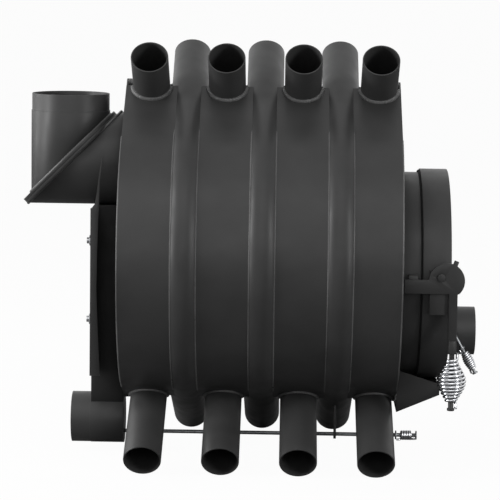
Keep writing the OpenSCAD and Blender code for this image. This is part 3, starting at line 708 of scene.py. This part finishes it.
# Faces above the box's lid take the near-black paint, a painted shade of the gap behind the shield.
for face in riser.data.polygons:
    face.material_index = 1 if face.center.z > riser_foot + box_lid else 0
for corner in riser.data.vertices:
    if corner.co.z > riser_foot and riser_back - riser_reach < corner.co.x < riser_back:
        corner.co.x -= riser_swell
    if corner.co.z > riser_high - riser_lid:
        corner.co.z += riser_lift


# Damper rod
# A long rod slides under the barrel through a strap and the pipe's end plate, and
# moves a disc in the low pipe. Its front end has a short wire coil to pull.
from_frame("rod_hanger", "rod_strap", "stove", stove_paint)
from_frame("damper_rod", "long_rod", "damper", plain_steel)
from_frame("damper_disc", "sliding_plate", "damper", fire_steel)
rod_low, rod_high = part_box("damper_rod")
rod_z = (rod_low.z + rod_high.z) / 2
rod_button = 0.002
pull_len = 0.030
pull_turns = 6
pull_r = (0.0061, 0.0061, 0.0061)
pull_wire = 0.0034
pull_start = Matrix.Translation((rod_high.x - rod_button - pull_len + coil_gap / 2, 0, rod_z))
pull_place = pull_start @ Matrix.Rotation(math.pi / 2, 4, "Y")
wire_coil("damper_grip", pull_place, pull_len - coil_gap, pull_turns, pull_r, pull_wire,
          "damper", "damper_coil")


# Studio
# A plain pale floor, a white surround and broad soft lamps. The camera stands nearly
# four metres off, square to the side and a little above.
def seen_by(tree, rays):
    path = tree.nodes.new("ShaderNodeLightPath")
    total = path.outputs[rays[0]]
    for ray in rays[1:]:
        either = tree.nodes.new("ShaderNodeMath")
        either.operation = "MAXIMUM"
        tree.links.new(total, either.inputs[0])
        tree.links.new(path.outputs[ray], either.inputs[1])
        total = either.outputs[0]
    return total


floor_size = 500
floor_glow = 0.965
deselect()
bpy.ops.mesh.primitive_plane_add(size=floor_size, location=(0, 0, 0))
floor = bpy.context.object
floor.name = "studio_floor"
pale_floor = bpy.data.materials.new("pale floor")
tree, shader = shader_of(pale_floor)
shader.inputs["Base Color"].default_value = (0.20, 0.20, 0.20, 1)
shader.inputs["Roughness"].default_value = 0.9
lit = tree.nodes.new("ShaderNodeBsdfDiffuse")
lit.inputs["Color"].default_value = (0.85, 0.85, 0.85, 1)
glow = tree.nodes.new("ShaderNodeEmission")
shown = tree.nodes.new("ShaderNodeMixShader")
shown.inputs["Fac"].default_value = floor_glow
tree.links.new(lit.outputs["BSDF"], shown.inputs[1])
tree.links.new(glow.outputs["Emission"], shown.inputs[2])
blend = tree.nodes.new("ShaderNodeMixShader")
tree.links.new(seen_by(tree, ["Is Camera Ray"]), blend.inputs["Fac"])
tree.links.new(shader.outputs["BSDF"], blend.inputs[1])
tree.links.new(shown.outputs["Shader"], blend.inputs[2])
tree.links.new(blend.outputs["Shader"], tree.nodes["Material Output"].inputs["Surface"])
dress(floor, pale_floor)

surround = bpy.data.worlds.new("white surround")
bpy.context.scene.world = surround
surround.use_nodes = True
sky = surround.node_tree
soft_light = sky.nodes["Background"]
soft_light.inputs["Color"].default_value = (1, 1, 1, 1)
soft_light.inputs["Strength"].default_value = 0.20
white_back = sky.nodes.new("ShaderNodeBackground")
white_back.inputs["Color"].default_value = (1, 1, 1, 1)
white_back.inputs["Strength"].default_value = 1
which = sky.nodes.new("ShaderNodeMixShader")
white_rays = ["Is Camera Ray", "Is Glossy Ray", "Is Transmission Ray"]
sky.links.new(seen_by(sky, white_rays), which.inputs["Fac"])
sky.links.new(soft_light.outputs["Background"], which.inputs[1])
sky.links.new(white_back.outputs["Background"], which.inputs[2])
sky.links.new(which.outputs["Shader"], sky.nodes["World Output"].inputs["Surface"])


def soft_lamp(name, place, aim, width, height, watts):
    deselect()
    turn = (Vector(aim) - Vector(place)).to_track_quat("-Z", "Y").to_euler()
    bpy.ops.object.light_add(type="AREA", location=place, rotation=turn)
    lamp = bpy.context.object
    lamp.name = name
    lamp.data.shape = "RECTANGLE"
    lamp.data.size = width
    lamp.data.size_y = height
    lamp.data.energy = watts


middle_height = (0, 0, 0.35)
soft_lamp("high_front_lamp", (0, -2.3, 2.65), middle_height, 2.2, 1.2, 13)
soft_lamp("front_lamp", (0, -3.0, 1.0), middle_height, 2.0, 0.8, 6)
soft_lamp("left_lamp", (-2.6, -0.85, 1.0), middle_height, 0.5, 2.0, 60)
soft_lamp("left_back_lamp", (-2.4, 0.6, 1.1), middle_height, 0.5, 2.0, 24)
soft_lamp("right_lamp", (2.3, -1.8, 1.0), middle_height, 0.6, 2.0, 31)

view_yaw = math.radians(0.826)
view_drop = math.radians(7.01)
camera_roll = math.radians(0.795)
camera_away = 3.75098
picture_scale = 2400.6
picture_side = 500
sight_z = 0.34097
sight_u = 263.423
sight_v = 236.512
level_share = math.cos(view_drop)
ahead = Vector((-math.sin(view_yaw) * level_share, math.cos(view_yaw) * level_share, -math.sin(view_drop)))
level = Vector((math.cos(view_yaw), math.sin(view_yaw), 0))
over = level.cross(ahead)
right = level * math.cos(camera_roll) + over * math.sin(camera_roll)
top = over * math.cos(camera_roll) - level * math.sin(camera_roll)
aim_right = (sight_u - picture_side / 2) * camera_away / picture_scale
aim_up = (picture_side / 2 - sight_v) * camera_away / picture_scale
stand = Vector((barrel_x, 0, sight_z)) - ahead * camera_away - right * aim_right - top * aim_up
deselect()
turn = Matrix((right, top, -ahead)).transposed().to_euler()
bpy.ops.object.camera_add(location=stand, rotation=turn)
camera = bpy.context.object
camera.name = "photo_camera"
camera.data.sensor_width = 36
camera.data.lens = picture_scale / picture_side * camera.data.sensor_width
camera.data.clip_start = 0.1
camera.data.clip_end = 100
bpy.context.scene.camera = camera
bpy.context.scene.view_settings.view_transform = "Standard"
